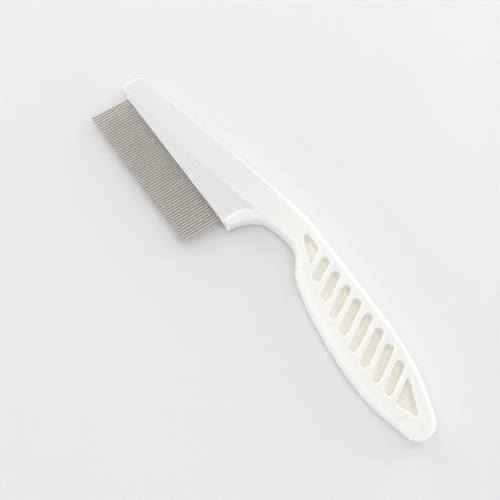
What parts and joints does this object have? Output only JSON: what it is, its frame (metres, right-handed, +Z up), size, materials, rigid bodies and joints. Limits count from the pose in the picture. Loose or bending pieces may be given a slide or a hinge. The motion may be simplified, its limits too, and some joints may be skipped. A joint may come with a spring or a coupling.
{
  "type": "flea comb",
  "caption": "Fine-toothed pet comb: a moulded handle with a finger notch and leaning grip pockets, and a straight row of close-set round steel needles.",
  "frame": {"origin": "centre of the comb's outline seen from above, on the plane that its grip lies on", "axes": "+X along the needle row from the tip to the handle's end, +Y from the needles towards the back, +Z up from the underside of the grip"},
  "size_m": [0.16, 0.04, 0.0082],
  "materials": {
    "white_plastic": "smooth moulded, satin gloss",
    "carrier_plastic": "smooth moulded, cooler white",
    "needle_steel": "drawn stainless wire, polished"
  },
  "bodies": {
    "root": {"handle": "white_plastic", "needle_carrier": "carrier_plastic", "needle_01": "needle_steel", "needle_02": "needle_steel", "needle_03": "needle_steel", "needle_04": "needle_steel", "needle_05": "needle_steel", "needle_06": "needle_steel", "needle_07": "needle_steel", "needle_08": "needle_steel", "needle_09": "needle_steel", "needle_10": "needle_steel", "needle_11": "needle_steel", "needle_12": "needle_steel", "needle_13": "needle_steel", "needle_14": "needle_steel", "needle_15": "needle_steel", "needle_16": "needle_steel", "needle_17": "needle_steel", "needle_18": "needle_steel", "needle_19": "needle_steel", "needle_20": "needle_steel", "needle_21": "needle_steel", "needle_22": "needle_steel", "needle_23": "needle_steel", "needle_24": "needle_steel", "needle_25": "needle_steel", "needle_26": "needle_steel", "needle_27": "needle_steel", "needle_28": "needle_steel", "needle_29": "needle_steel", "needle_30": "needle_steel", "needle_31": "needle_steel", "needle_32": "needle_steel", "needle_33": "needle_steel", "needle_34": "needle_steel", "needle_35": "needle_steel", "needle_36": "needle_steel", "needle_37": "needle_steel", "needle_38": "needle_steel", "needle_39": "needle_steel", "needle_40": "needle_steel", "needle_41": "needle_steel", "needle_42": "needle_steel", "needle_43": "needle_steel", "needle_44": "needle_steel", "needle_45": "needle_steel", "needle_46": "needle_steel", "needle_47": "needle_steel", "needle_48": "needle_steel", "needle_49": "needle_steel", "needle_50": "needle_steel", "needle_51": "needle_steel", "needle_52": "needle_steel", "needle_53": "needle_steel", "needle_54": "needle_steel", "needle_55": "needle_steel", "needle_56": "needle_steel", "needle_57": "needle_steel", "needle_58": "needle_steel"}
  },
  "joints": []
}
